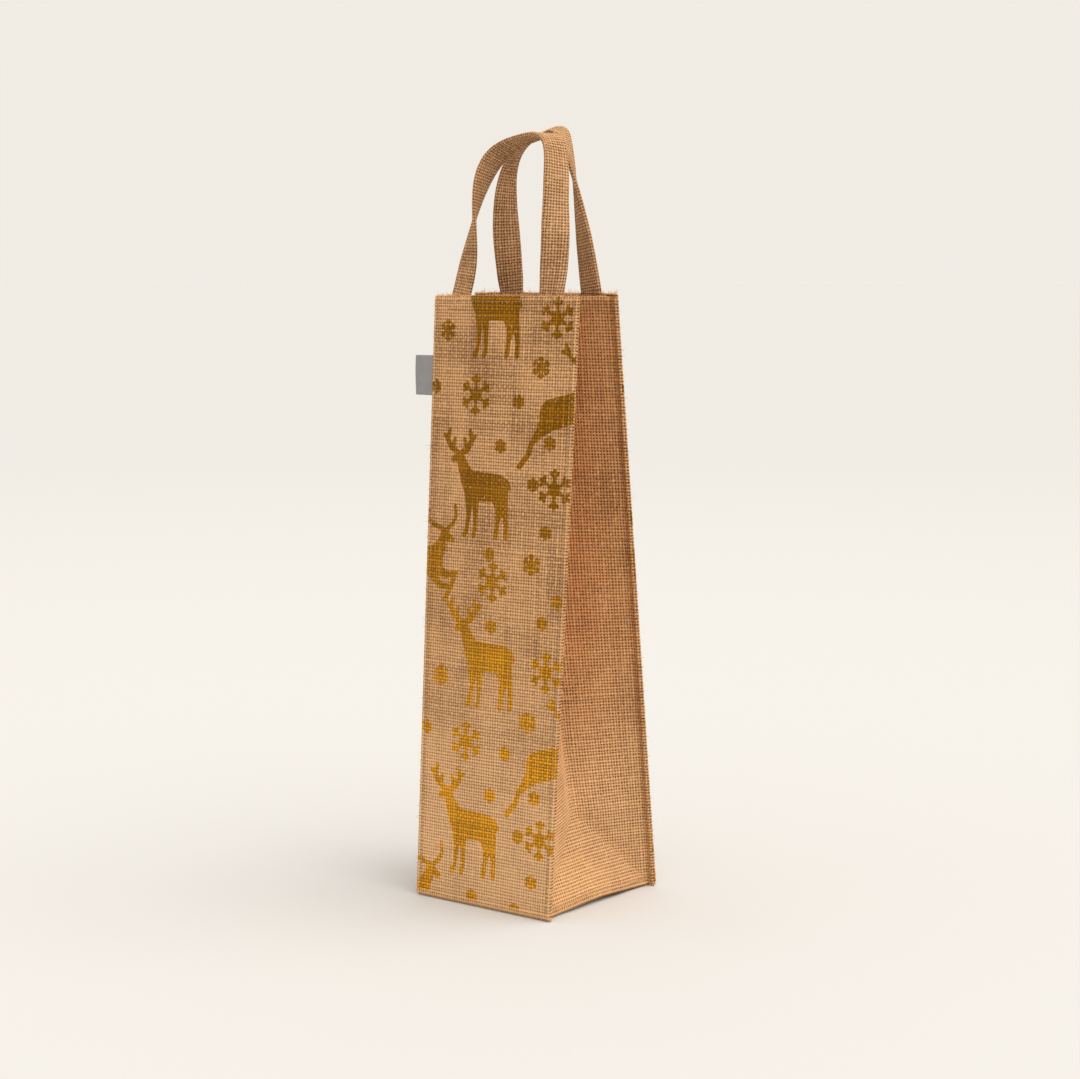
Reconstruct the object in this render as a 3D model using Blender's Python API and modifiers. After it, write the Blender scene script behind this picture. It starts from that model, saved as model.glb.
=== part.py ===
"""Jute wine gift bag: two printed walls, two inward-folded gussets, a base and two strap handles.

Metres, +Z up. The origin is the middle of the base's underside, the printed front faces -Y and the
mouth faces +Z. Each wall hinges on its bottom edge, so that the mouth can be drawn open.
"""

import math

import bmesh
import bpy
from mathutils import Vector

# Cloth and seams.
CLOTH = 0.0012
GAP = 0.0003
FIN = 0.0042
SEAM_INSET = 0.0031
HEM_DEPTH = 0.009
THREAD_WIDTH = 0.0009
THREAD_THICKNESS = 0.0005

# Bag body. A wall's outer face runs from the base edge to the rim and bows out between its seams.
BASE_HALF_DEPTH = 0.053
BASE_HALF_WIDTH = 0.0507
BASE_EDGE = 0.005
BASE_EDGE_SHARE = 0.7
RIM_HALF_WIDTH = 0.0536
WALL_FOOT = CLOTH + GAP
FRONT = {"side": -1, "rim_y": 0.0298, "rim_z": 0.3575, "bow": 0.004}
BACK = {"side": 1, "rim_y": 0.0074, "rim_z": 0.3590, "bow": 0.009}
GUSSET_SLACK = 0.93
BODY_ROWS = 14
HEM_ROWS = 4
GUSSET_FOLDS = 8
GUSSET_ROWS = 22

# Strap handles: a curve through each arch from the left leg to the right leg, and the angle by which
# the strap's width has turned about the vertical at each of those points.
STRAP_WIDTH = 0.0165
STRAP_THICKNESS = 0.0024
STRAP_END = 0.020
FRONT_LEGS = (-0.0340, 0.0326)
BACK_LEGS = (-0.0274, 0.0328)
LEG_START = 0.0008
FRONT_ARCH = (
    ((-0.0305, -0.0246, 0.020), 11),
    ((-0.0300, -0.0222, 0.050), 60),
    ((-0.0230, -0.0160, 0.083), 108),
    ((0.0060, -0.0105, 0.0925), 112),
    ((0.0258, -0.0130, 0.0935), 98),
    ((0.0298, -0.0212, 0.054), 113),
    ((0.0330, -0.0250, 0.020), 152),
)
BACK_ARCH = (
    ((-0.0292, 0.0094, 0.020), 33),
    ((-0.0330, 0.0086, 0.052), 78),
    ((-0.0285, 0.0114, 0.090), 105),
    ((0.0030, 0.0130, 0.0955), 110),
    ((0.0200, 0.0066, 0.0975), 124),
    ((0.0252, 0.0064, 0.056), 148),
    ((0.0300, 0.0086, 0.020), 165),
)
FRONT_TURNS = (11, 180)
BACK_TURNS = (0, 170)

# Side label, sewn into the front left seam.
LABEL_WIDTH = 0.012
LABEL_TOP = 0.322
LABEL_BOTTOM = 0.2985
LABEL_THICKNESS = 0.0006
LABEL_CLEARANCE = 0.0009

JUTE = (0.50, 0.31, 0.165, 1.0)
JUTE_PRINTED = (0.50, 0.30, 0.12, 1.0)
STRAP_JUTE = (0.42, 0.26, 0.14, 1.0)
THREAD = (0.62, 0.46, 0.29, 1.0)
SATIN = (0.42, 0.43, 0.44, 1.0)


def clear_scene():
    """Removes what the open file holds."""
    for old in list(bpy.data.objects):
        bpy.data.objects.remove(old)


def material(name, colour, roughness, metallic=0.0):
    """A plain finish for one piece."""
    made = bpy.data.materials.new(name)
    made.use_nodes = True
    shader = made.node_tree.nodes["Principled BSDF"]
    shader.inputs["Base Color"].default_value = colour
    shader.inputs["Roughness"].default_value = roughness
    shader.inputs["Metallic"].default_value = metallic
    return made


def mix(low, high, share):
    """The value at share of the way from low to high."""
    return low + (high - low) * share


def wall_half_width(height_share):
    """Half of a wall's width, fins included."""
    return mix(BASE_HALF_WIDTH, RIM_HALF_WIDTH, height_share)


def wall_point(wall, x, height, inward=0.0):
    """The point of a wall's cloth at x and height, that far inside its outer face."""
    share = (height - WALL_FOOT) / (wall["rim_z"] - WALL_FOOT)
    across = x / wall_half_width(share)
    bow = wall["bow"] * max(share, 0.0) ** 1.5 * (1.0 - across**2)
    out = mix(BASE_HALF_DEPTH, wall["rim_y"], share) + bow
    return Vector((x, wall["side"] * (out - inward), height))


def root_x(height):
    """How far out a gusset leaves the fins at this height."""
    return wall_half_width((height - WALL_FOOT) / (FRONT["rim_z"] - WALL_FOOT)) - FIN


def seam_point(wall, height, outward):
    """The gusset's cloth in a fin, outward from where the gusset leaves it."""
    return wall_point(wall, root_x(height) + outward, height, 1.5 * CLOTH + GAP)


def crease_point(height):
    """The gusset's middle crease, which lies as deep as the cloth's fixed width asks."""
    front = seam_point(FRONT, height, 0.0)
    back = seam_point(BACK, height, 0.0)
    half_cloth = BASE_HALF_DEPTH - 1.5 * CLOTH - GAP
    half_gap = min((back.y - front.y) / 2, half_cloth)
    depth = GUSSET_SLACK * math.sqrt(half_cloth**2 - half_gap**2)
    return Vector((front.x - depth, (front.y + back.y) / 2, height))


def gusset_point(across, height):
    """A gusset's cloth: across runs from -1 at the front fin's root, over 0, to 1 at the back's.

    Above the apex the cloth folds in along its middle. Below it, two diagonals run from the apex to
    the bottom corners, and the triangle between them leans out to the base.
    """
    wall = FRONT if across < 0 else BACK
    half_cloth = BASE_HALF_DEPTH - 1.5 * CLOTH - GAP
    apex_height = WALL_FOOT + half_cloth
    along = (1.0 - abs(across)) * half_cloth
    climb = height - WALL_FOOT
    if climb >= half_cloth:
        return seam_point(wall, height, 0.0).lerp(crease_point(height), along / half_cloth)
    apex = crease_point(apex_height)
    corner = seam_point(wall, WALL_FOOT, 0.0)
    fold = corner.lerp(apex, climb / half_cloth)
    if along <= climb:
        return seam_point(wall, height, 0.0).lerp(fold, along / max(climb, 1e-9))
    middle = Vector((corner.x, 0.0, WALL_FOOT)).lerp(apex, climb / half_cloth)
    return fold.lerp(middle, (along - climb) / (half_cloth - climb))


def patch(name, place, columns, rows, thickness, finish):
    """A sheet of cloth: a grid whose corners place(u, v) puts where they lie, with a thickness."""
    bm = bmesh.new()
    bmesh.ops.create_grid(bm, x_segments=columns, y_segments=rows, size=1.0)
    for vert in bm.verts:
        vert.co = place((vert.co.x + 1) / 2, (vert.co.y + 1) / 2)
    mesh = bpy.data.meshes.new(name)
    bm.to_mesh(mesh)
    bm.free()
    made = bpy.data.objects.new(name, mesh)
    solid = made.modifiers.new("cloth", "SOLIDIFY")
    solid.thickness = thickness
    solid.offset = 0.0
    solid.use_even_offset = True
    mesh.materials.append(finish)
    bpy.data.collections["wine_gift_bag"].objects.link(made)
    return made


def hinge(name, place, parent=None):
    """An empty on a joint's axis."""
    made = bpy.data.objects.new(name, None)
    made.empty_display_size = 0.02
    made.location = place
    bpy.data.collections["joint_axes"].objects.link(made)
    if parent:
        attach(made, parent)
    bpy.context.view_layer.update()
    return made


def attach(piece, parent):
    """Parents a piece without moving it."""
    bpy.context.view_layer.update()
    piece.parent = parent
    piece.matrix_parent_inverse = parent.matrix_world.inverted()


def hem_share(v):
    """Rows of a wall: most are even, and the last four shape the turned hem at the rim."""
    row = v * (BODY_ROWS + HEM_ROWS)
    hem_start = 1.0 - HEM_DEPTH / FRONT["rim_z"]
    if row <= BODY_ROWS:
        return hem_start * row / BODY_ROWS
    return mix(hem_start, 1.0, (row - BODY_ROWS) / HEM_ROWS)


def make_wall(name, wall, finish):
    """A front or back wall. Its hem, turned inwards at the rim, makes the cloth double there."""

    def place(u, v):
        share = hem_share(v)
        height = mix(WALL_FOOT, wall["rim_z"], share)
        x = -wall["side"] * mix(-1, 1, u) * wall_half_width(share)
        return wall_point(wall, x, height)

    made = patch(name, place, 14, BODY_ROWS + HEM_ROWS, 2 * CLOTH, finish)
    solid = made.modifiers["cloth"]
    solid.offset = -1.0
    solid.use_even_offset = False
    hem = made.vertex_groups.new(name="hem")
    for vert in made.data.vertices:
        share = (vert.co.z - WALL_FOOT) / (wall["rim_z"] - WALL_FOOT)
        in_fin = abs(vert.co.x) > wall_half_width(share) - 2 * FIN
        in_hem = share > hem_share((BODY_ROWS + 0.5) / (BODY_ROWS + HEM_ROWS))
        hem.add([vert.index], 1.0 if in_hem and not in_fin else 0.5, "REPLACE")
    solid.vertex_group = hem.name
    return made


def make_gusset(name, side, finish):
    """A side gusset: both halves of its inward fold, and a flange in each fin."""
    columns = 2 * GUSSET_FOLDS + 2

    def place(u, v):
        column = round(u * columns) - 1
        row = round(v * GUSSET_ROWS)
        half_cloth = BASE_HALF_DEPTH - 1.5 * CLOTH - GAP
        if row <= GUSSET_FOLDS:
            height = WALL_FOOT + half_cloth * row / GUSSET_FOLDS
        else:
            share = (row - GUSSET_FOLDS) / (GUSSET_ROWS - GUSSET_FOLDS)
            height = mix(WALL_FOOT + half_cloth, FRONT["rim_z"], share)
        if column < 0:
            point = seam_point(FRONT, height, FIN)
        elif column > 2 * GUSSET_FOLDS:
            point = seam_point(BACK, height, FIN)
        else:
            point = gusset_point(column / GUSSET_FOLDS - 1.0, height)
        return Vector((side * point.x, point.y, point.z))

    return patch(name, place, columns, GUSSET_ROWS, CLOTH, finish)


def strap_curve(wall, legs, arch, turns, samples):
    """Points of a strap's middle and the direction of its width, from the left leg to the right."""
    rim = wall["rim_z"]
    depth = 2 * CLOTH + GAP + STRAP_THICKNESS / 2
    start = wall_point(wall, legs[0], rim, depth) + Vector((0, 0, LEG_START))
    end = wall_point(wall, legs[1], rim, depth) + Vector((0, 0, LEG_START))
    controls = [start] + [Vector((x, y, rim + z)) for (x, y, z), _ in arch] + [end]
    angles = [turns[0]] + [angle for _, angle in arch] + [turns[1]]
    points = []
    for step in range(samples + 1):
        weights = spline_weights(len(controls), step / samples)
        place = sum((controls[i] * w for i, w in weights.items()), Vector())
        turn = math.radians(sum(angles[i] * w for i, w in weights.items()))
        points.append((place, Vector((math.cos(turn), wall["side"] * math.sin(turn), 0))))
    return points


def spline_weights(count, share):
    """The weights of the control points at share of a clamped cubic B-spline."""
    degree = 3
    spans = count - degree
    knots = [0.0] * degree + [i / spans for i in range(spans + 1)] + [1.0] * degree
    at = min(max(share, 0.0), 1.0 - 1e-9)

    def basis(i, k):
        if k == 0:
            return 1.0 if knots[i] <= at < knots[i + 1] else 0.0
        total = 0.0
        if knots[i + k] > knots[i]:
            total += (at - knots[i]) / (knots[i + k] - knots[i]) * basis(i, k - 1)
        if knots[i + k + 1] > knots[i + 1]:
            rest = knots[i + k + 1] - at
            total += rest / (knots[i + k + 1] - knots[i + 1]) * basis(i + 1, k - 1)
        return total

    weights = {i: basis(i, degree) for i in range(count)}
    return {i: w for i, w in weights.items() if w > 0}


def make_handle(name, wall, legs, arch, turns, finish):
    """A strap's free arch above the rim, flat at its legs and turned edge to the walls at its top."""
    samples = 36
    line = strap_curve(wall, legs, arch, turns, samples)

    def place(u, v):
        step = round(v * samples)
        middle, width = line[step]
        before = line[max(step - 1, 0)][0]
        after = line[min(step + 1, samples)][0]
        along = (after - before).normalized()
        if 0 < step < samples:
            width = (width - along * width.dot(along)).normalized()
        return middle + width * STRAP_WIDTH * (u - 0.5)

    return patch(name, place, 2, samples, STRAP_THICKNESS, finish)


def wall_strip(name, wall, x_range, z_range, inward, thickness, divisions, finish):
    """A strip that lies along a wall, such as a thread or a strap's sewn end."""

    def place(u, v):
        return wall_point(wall, mix(*x_range, u), mix(*z_range, v), inward)

    return patch(name, place, *divisions, thickness, finish)


def make_seam_thread(name, wall, side, finish):
    """The thread down one vertical fin."""

    def place(u, v):
        height = mix(WALL_FOOT + 0.001, wall["rim_z"] - 0.001, v)
        share = (height - WALL_FOOT) / (wall["rim_z"] - WALL_FOOT)
        x = wall_half_width(share) - SEAM_INSET + (u - 0.5) * THREAD_WIDTH
        return wall_point(wall, side * x, height, -GAP - THREAD_THICKNESS / 2)

    return patch(name, place, 1, 14, THREAD_THICKNESS, finish)


def make_base_thread(name, side, finish):
    """The thread along a gusset's bottom edge."""
    reach = BASE_HALF_DEPTH - 0.010
    out = root_x(WALL_FOOT) + CLOTH / 2 + GAP + THREAD_THICKNESS / 2

    def place(u, v):
        return Vector((side * out, mix(-reach, reach, v), mix(0.0036, 0.0045, u)))

    return patch(name, place, 1, 4, THREAD_THICKNESS, finish)


def make_label(name, finish):
    """The folded satin label, which stands out sideways from the front left fin."""

    def place(u, v):
        height = mix(LABEL_BOTTOM, LABEL_TOP, v)
        share = (height - WALL_FOOT) / (FRONT["rim_z"] - WALL_FOOT)
        edge = wall_point(FRONT, -wall_half_width(share), height, CLOTH)
        return edge - Vector((LABEL_CLEARANCE + LABEL_WIDTH * (1 - u), 0, 0))

    return patch(name, place, 2, 3, LABEL_THICKNESS, finish)


def base_step(share, half):
    """Where the base's grid lines lie: the middle, the foot of each pressed edge, and the edges."""
    side = 2 * share - 1
    return math.copysign(min(2 * abs(side) * (half - BASE_EDGE), half), side)


def make_base(name, finish):
    """The flat base. Its edges, which carry the walls, are pressed thinner than its middle."""
    half_width = root_x(WALL_FOOT) + CLOTH / 2

    def place(u, v):
        return Vector((base_step(u, half_width), base_step(v, BASE_HALF_DEPTH), 0.0))

    made = patch(name, place, 4, 4, CLOTH, finish)
    solid = made.modifiers["cloth"]
    solid.offset = 1.0
    solid.use_even_offset = False
    middle = made.vertex_groups.new(name="middle")
    for vert in made.data.vertices:
        in_edge = max(abs(vert.co.x) / half_width, abs(vert.co.y) / BASE_HALF_DEPTH) > 0.99
        middle.add([vert.index], BASE_EDGE_SHARE if in_edge else 1.0, "REPLACE")
    solid.vertex_group = middle.name
    return made


def make_wall_group(label, wall, legs, arch, turns, finishes):
    """One wall with its threads, the sewn ends of its strap and the strap itself."""
    foot = wall_point(wall, 0, WALL_FOOT, CLOTH / 2)
    wall_hinge = hinge(f"{label}_wall_hinge", foot)
    riders = [make_wall(f"{label}_panel", wall, finishes["printed"])]
    for word, side in (("left", -1), ("right", 1)):
        name = f"{label}_{word}_seam_thread"
        riders.append(make_seam_thread(name, wall, side, finishes["thread"]))

    rim = wall["rim_z"]
    outside = -GAP - THREAD_THICKNESS / 2
    reach = RIM_HALF_WIDTH - 2 * FIN
    line = (rim - 0.0035, rim - 0.0035 + THREAD_WIDTH)
    riders.append(
        wall_strip(f"{label}_rim_thread", wall, (-reach, reach), line, outside,
                   THREAD_THICKNESS, (16, 1), finishes["thread"])
    )
    tack_line = (rim - 0.0085, rim - 0.0085 + THREAD_WIDTH)
    depth = 2 * CLOTH + GAP + STRAP_THICKNESS / 2
    for word, x in zip(("left", "right"), legs):
        sewn = (x - STRAP_WIDTH / 2, x + STRAP_WIDTH / 2)
        riders.append(
            wall_strip(f"{label}_handle_{word}_end", wall, sewn, (rim - STRAP_END, rim), depth,
                       STRAP_THICKNESS, (2, 3), finishes["strap"])
        )
        riders.append(
            wall_strip(f"{label}_handle_{word}_tack", wall, sewn, tack_line, outside,
                       THREAD_THICKNESS, (3, 1), finishes["thread"])
        )
    for piece in riders:
        attach(piece, wall_hinge)

    fullest = min(abs(x) for x in legs) - STRAP_WIDTH / 2
    fold = (0, wall_point(wall, fullest, rim).y, rim)
    handle_hinge = hinge(f"{label}_handle_hinge", fold, wall_hinge)
    attach(make_handle(f"{label}_handle", wall, legs, arch, turns, finishes["strap"]), handle_hinge)
    return wall_hinge


def main():
    clear_scene()
    for name in ("wine_gift_bag", "joint_axes"):
        bpy.context.scene.collection.children.link(bpy.data.collections.new(name))
    finishes = {
        "printed": material("jute_printed", JUTE_PRINTED, 0.85),
        "plain": material("jute_plain", JUTE, 0.9),
        "strap": material("jute_strap", STRAP_JUTE, 0.9),
        "thread": material("thread", THREAD, 0.7),
        "satin": material("label_satin", SATIN, 0.4),
    }
    make_base("base_panel", finishes["plain"])
    for word, side in (("left", -1), ("right", 1)):
        make_gusset(f"{word}_gusset", side, finishes["plain"])
        make_base_thread(f"{word}_base_seam_thread", side, finishes["thread"])
    front = make_wall_group("front", FRONT, FRONT_LEGS, FRONT_ARCH, FRONT_TURNS, finishes)
    make_wall_group("back", BACK, BACK_LEGS, BACK_ARCH, BACK_TURNS, finishes)

    foot_share = (LABEL_BOTTOM - WALL_FOOT) / (FRONT["rim_z"] - WALL_FOOT)
    edge = wall_point(FRONT, -wall_half_width(foot_share), LABEL_BOTTOM, CLOTH)
    label_hinge = hinge("label_hinge", edge - Vector((LABEL_CLEARANCE, 0, 0)), front)
    attach(make_label("side_label", finishes["satin"]), label_hinge)


main()
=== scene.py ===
import math
import random
from itertools import cycle

import bmesh
import bpy
import numpy as np
from bpy.props import FloatProperty, FloatVectorProperty, IntProperty, PointerProperty
from bpy.types import Operator, Panel, PropertyGroup
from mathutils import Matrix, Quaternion, Vector, noise


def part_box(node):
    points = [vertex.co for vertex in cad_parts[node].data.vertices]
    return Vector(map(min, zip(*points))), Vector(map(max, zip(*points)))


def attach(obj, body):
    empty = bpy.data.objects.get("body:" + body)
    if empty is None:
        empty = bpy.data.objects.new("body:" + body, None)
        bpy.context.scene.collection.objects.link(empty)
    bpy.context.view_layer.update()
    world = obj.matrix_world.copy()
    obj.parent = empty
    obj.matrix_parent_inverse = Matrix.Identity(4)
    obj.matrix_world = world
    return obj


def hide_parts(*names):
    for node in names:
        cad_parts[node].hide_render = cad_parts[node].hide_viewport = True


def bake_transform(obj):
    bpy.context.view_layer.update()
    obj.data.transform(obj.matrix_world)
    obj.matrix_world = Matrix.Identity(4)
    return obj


bl_info = {
    "name": "Wine Gift Bag Maker",
    "version": (1, 0, 0),
    "blender": (4, 5, 0),
    "location": "3D View > Sidebar > Gift Bag",
    "description": "Makes the woven cloth, gold print, straps and stitching of a jute wine gift bag",
    "category": "Add Mesh",
}

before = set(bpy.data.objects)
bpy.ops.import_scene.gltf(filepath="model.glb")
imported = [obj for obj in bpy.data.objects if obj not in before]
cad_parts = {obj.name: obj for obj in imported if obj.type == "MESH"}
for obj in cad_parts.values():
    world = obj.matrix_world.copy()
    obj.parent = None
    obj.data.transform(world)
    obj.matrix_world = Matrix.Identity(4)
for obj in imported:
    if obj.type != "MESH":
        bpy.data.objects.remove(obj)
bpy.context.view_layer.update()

# Sizes that the frame gives, in metres.
BASE_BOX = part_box("base_panel")
CLOTH = BASE_BOX[1].z
BASE_HALF_DEPTH = BASE_BOX[1].y
RIM_HALF_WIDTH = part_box("front_panel")[1].x
LABEL_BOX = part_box("side_label")

# Sizes of the sewn cloth, in metres. GUSSET_SLACK is the share of its taut depth that a crease keeps.
GAP = 0.0003
FIN = 0.0042
SEAM_INSET = 0.0031
HEM_DEPTH = 0.009
BASE_HALF_WIDTH = BASE_BOX[1].x + FIN - CLOTH / 2
WALL_FOOT = CLOTH + GAP
SKIN = 0.0010
LABEL_SKIN = 0.00016
FOOT_ROLL = 0.0022
HEM_ROLL = 0.00075
CREASE_ROLL = 0.0040
CREASE_LAP = 0.0012
FLANGE_SHORT = 0.0009
FOOT_ARCH = 0.0022
BASE_SHORT = 0.0022
GUSSET_SHORT = 0.0002
GUSSET_SLACK = 0.93

# Fine shapes of the sewn cloth, in metres. The pairs give a height or depth, and then a width.
SEAM_GROOVE = (0.00018, 0.0009)
EDGE_CORD = (0.00022, 0.0010)
CORD_TWIST = 0.0031
FOOT_BEAD = (0.0004, 0.0009)
FOOT_BEAD_RISE = 0.0022
FLOOR_GAP = 0.0001
FIN_ROLL = 0.0012
ARCH_FADE = 0.03

# Where the print starts, and how wide the paler strips along the folds are, in metres: partly worn
# fibres, partly a painted highlight.
PRINT_FOOT = 0.0032
EDGE_WIDTH = 0.0011
RIM_WIDTH = 0.0009
FOOT_WIDTH = 0.0016

# How many grid points each yarn gets, across and along, in the walls, gussets and base.
CLOTH_SAMPLES = (2, 2)

# Sizes of the straps, in metres. STRAP_PITCH is their yarns' pitch as a share of the walls'.
STRAP_WIDTH = 0.0165
STRAP_THICKNESS = 0.0024
STRAP_END = 0.020
LEG_START = 0.0008
STRAP_PITCH = 0.95
STRAP_ROWS = 3
SEWN_STEPS = 8
ARCH_STEPS = 90

# The walls and their straps. side is a wall's side of the bag, rim_y its distance from the middle at
# the rim, and bow how far its middle stands out there. legs are where the strap's two ends are sewn,
# and turns the angles of its width there, in degrees. roll leans the band further: by how many
# degrees at most, and at what share of its length. arch holds the control points of the strap's
# curve, above the rim, each with its angle.
FRONT = {
    "name": "front",
    "side": -1,
    "rim_y": 0.0298,
    "rim_z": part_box("front_panel")[1].z,
    "bow": 0.004,
    "legs": (-0.0340, 0.0326),
    "turns": (11, 180),
    "roll": (-3, 0.42),
    "arch": (
        ((-0.0305, -0.0246, 0.020), 11),
        ((-0.0300, -0.0222, 0.050), 60),
        ((-0.0230, -0.0160, 0.083), 108),
        ((0.0060, -0.0105, 0.0925), 112),
        ((0.0258, -0.0130, 0.0935), 98),
        ((0.0298, -0.0212, 0.054), 113),
        ((0.0330, -0.0250, 0.020), 152),
    ),
}
BACK = {
    "name": "back",
    "side": 1,
    "rim_y": 0.0074,
    "rim_z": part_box("back_panel")[1].z,
    "bow": 0.009,
    "legs": (-0.0274, 0.0328),
    "turns": (0, 170),
    "roll": (19, 0.58),
    "arch": (
        ((-0.0292, 0.0094, 0.020), 33),
        ((-0.0330, 0.0086, 0.052), 78),
        ((-0.0285, 0.0114, 0.086), 105),
        ((-0.0010, 0.0130, 0.0945), 110),
        ((0.0135, 0.0080, 0.0950), 120),
        ((0.0252, 0.0064, 0.056), 148),
        ((0.0300, 0.0086, 0.020), 165),
    ),
}

# The stitches: how many are in a row, how thick one is, how far its middle stands out of the cloth,
# and the share of its step that it covers. The drops are below the rim.
SEAM_STITCHES = 128
TACK_STITCHES = 6
ROW_STITCHES = 36
STITCH_THICKNESS = 0.0007
STITCH_PROUD = 0.0001
STITCH_SHARE = 0.72
TACK_DROP = 0.0080
HEM_SEAM_DROP = 0.0032
FOOT_SEAM_RISE = 0.0052
FOOT_SEAM_INSET = 0.004

# The share of the loose fibres on the rim, and the share on the rim and the fins together.
RIM_FIBRES = 0.55
RIM_AND_FIN_FIBRES = 0.9

# The light: the pale world, and one very soft sun.
WORLD_COLOUR = (0.875, 0.835, 0.775)
SUN_COLOUR = (1.0, 0.955, 0.89)
SUN_STRENGTH = 2.4
SUN_SPREAD = math.radians(70)
SUN_PLACE = (1.05, 0.1, 2.0)

# The floor: its radius, how much paler it is painted near the bag as a pool of light, and between
# which distances that fades.
FLOOR_RADIUS = 60.0
FLOOR_PAINTED_LIGHT = 1.07
FLOOR_FADE = (0.3, 4.0)

# The camera: its place in metres, its angles in degrees and its lens in millimetres.
CAMERA_PLACE = (0.8675, -1.1009, 0.3746)
CAMERA_DOWN = 6.57
CAMERA_TURN = 38.17
LENS = 79.16
SENSOR = 36.0

# The print's shapes, in millimetres: chains of (across, up, radius), each a row of rounded tapers.
STANDING_STAG = (
    ((-9.0, 30, 8.4), (8.5, 29.5, 8.0)),
    ((-13, 32.5, 6.0), (-18, 41, 3.8), (-20.5, 46.5, 2.9)),
    ((-20.5, 47, 2.9), (-26, 45, 1.6)),
    ((-19.5, 48.5, 1.4), (-15, 50, 0.9)),
    ((-22, 48.5, 1.6), (-28, 52, 1.6), (-31, 56.5, 1.5), (-29.6, 62, 1.1)),
    ((-26.5, 51, 1.3), (-25.2, 57, 1.0)),
    ((-30.2, 55.5, 1.2), (-33.6, 59, 1.0)),
    ((-20, 48.5, 1.6), (-14.5, 52, 1.6), (-11.6, 56.5, 1.5), (-13.4, 62, 1.1)),
    ((-15.6, 51.4, 1.3), (-17.6, 57, 1.0)),
    ((-12.4, 56, 1.2), (-9, 59, 1.0)),
    ((-12.5, 25.5, 3.6), (-12.6, 13.5, 1.4), (-14, 4, 1.1), (-15.6, 1.2, 1.6)),
    ((-8, 24.5, 2.8), (-7.4, 12.5, 1.3), (-7.6, 3.5, 1.1), (-8.6, 1.2, 1.5)),
    ((9.5, 26, 6.2), (10.4, 17, 2.6), (9.2, 9, 1.3), (8.2, 1.2, 1.4)),
    ((12.6, 27.5, 3.8), (14.8, 16, 1.9), (15.8, 8, 1.3), (15.6, 1.2, 1.4)),
    ((15, 33.5, 1.8), (17.4, 30, 1.1)),
)
LEAPING_STAG = (
    ((-11, -3.5, 8.8), (9, 2.5, 8.0)),
    ((11, 5, 5.8), (16, 13, 3.6), (18, 18.5, 3.0)),
    ((18, 18.5, 2.9), (24, 15.5, 1.6)),
    ((17, 21, 1.4), (8, 24, 1.3), (0.5, 28, 1.2), (-3.5, 36, 1.0)),
    ((3, 26.5, 1.1), (4.5, 32, 0.8)),
    ((-1.5, 31, 1.1), (-6, 32.5, 0.8)),
    ((19.4, 21, 1.2), (24.4, 25, 1.1), (26.6, 30, 1.0), (25.6, 36, 0.8)),
    ((-14, -8, 6.0), (-19, -14, 3.0), (-24.5, -19.5, 1.6), (-27, -27, 1.4), (-33, -34, 1.6)),
    ((12, -2, 3.8), (19.5, -5.5, 2.0), (27.5, -4.5, 1.6), (24, -12, 1.3)),
    ((8, -5, 3.2), (16, -12.5, 1.8), (24.5, -12, 1.4), (19.5, -20, 1.3)),
)
STANDING_PLACES = ((-3, 322), (-7, 217), (0, 118), (-8, 18))
LEAPING_PLACES = ((50, 294), (49, 92), (-56, 199), (-58, -1))
WIDE_FLAKES = ((-17, 300), (40, 345), (42, 248), (0, 192), (41, 143), (-16, 97), (41, 46))
MIDDLE_FLAKES = ((-41, 337), (30, 317), (28, 204), (29, 113), (-37, 134))
SMALL_FLAKES = (
    (15, 297), (3, 271), (38, 274), (27, 250), (37, 223), (-3, 208), (47, 184), (0, 166), (37, 171),
    (13, 93), (3, 67), (36, 70), (25, 46), (36, 21), (-8, 6), (-49, 304), (-47, 102), (24, 3),
)

# Snowflakes by size: radius in millimetres, how far a small one is thickened, and places.
FLAKE_SIZES = ((12.4, 0.02, WIDE_FLAKES), (6.4, 0.13, MIDDLE_FLAKES), (4.3, 0.16, SMALL_FLAKES))

# How far from any shape counts as bare cloth, and how far the foil spreads, in millimetres.
NO_PRINT = 8.0
PRINT_SPREAD = 0.2

# The weave's look: a yarn's width as a share of the pitch, and how high the lower of two crossing
# yarns stands, as a share of the upper one.
YARN_WIDTH = 0.98
LOWER_YARN = 0.4


# ---------------------------------------------------------------- settings


class GiftBagCloth(PropertyGroup):
    """Sizes of the weave."""

    pitch: FloatProperty(
        name="Yarn pitch",
        description="Distance from one yarn to the next",
        default=0.00186,
        min=0.001,
        unit="LENGTH",
    )
    relief: FloatProperty(
        name="Relief",
        description="How far each crossing of two yarns stands out from the cloth's middle",
        default=0.00022,
        min=0.0,
        unit="LENGTH",
    )
    wander: FloatProperty(
        name="Wander",
        description="How far a yarn strays from its straight line, as a share of the pitch",
        default=0.22,
        min=0.0,
        max=0.5,
    )
    sag: FloatProperty(
        name="Sag",
        description="Depth of the soft waves in the walls and gussets",
        default=0.0009,
        min=0.0,
        unit="LENGTH",
    )
    fibres: IntProperty(
        name="Loose fibres",
        description="Number of frayed fibres on each wall",
        default=420,
        min=0,
    )


def colour_property(name, description, default):
    """A colour that a user can change."""
    return FloatVectorProperty(
        name=name, description=description, subtype="COLOR", size=3, min=0.0, max=1.0, default=default
    )


class GiftBagColours(PropertyGroup):
    """Colours of the finishes."""

    jute: colour_property("Jute", "Colour of the jute's light yarns", (0.80, 0.445, 0.205))
    jute_dark: colour_property("Dark jute", "Colour of the jute's darker yarns", (0.35, 0.170, 0.070))
    gold: colour_property("Gold", "Colour of the foil print", (0.95, 0.45, 0.028))
    thread: colour_property("Thread", "Colour of the sewing thread", (0.50, 0.30, 0.145))
    satin: colour_property("Satin", "Colour of the side label", (0.27, 0.27, 0.27))


# ---------------------------------------------------------------- shape of the bag


def mix(low, high, share):
    """The value a share of the way from low to high."""
    return low + (high - low) * share


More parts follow.
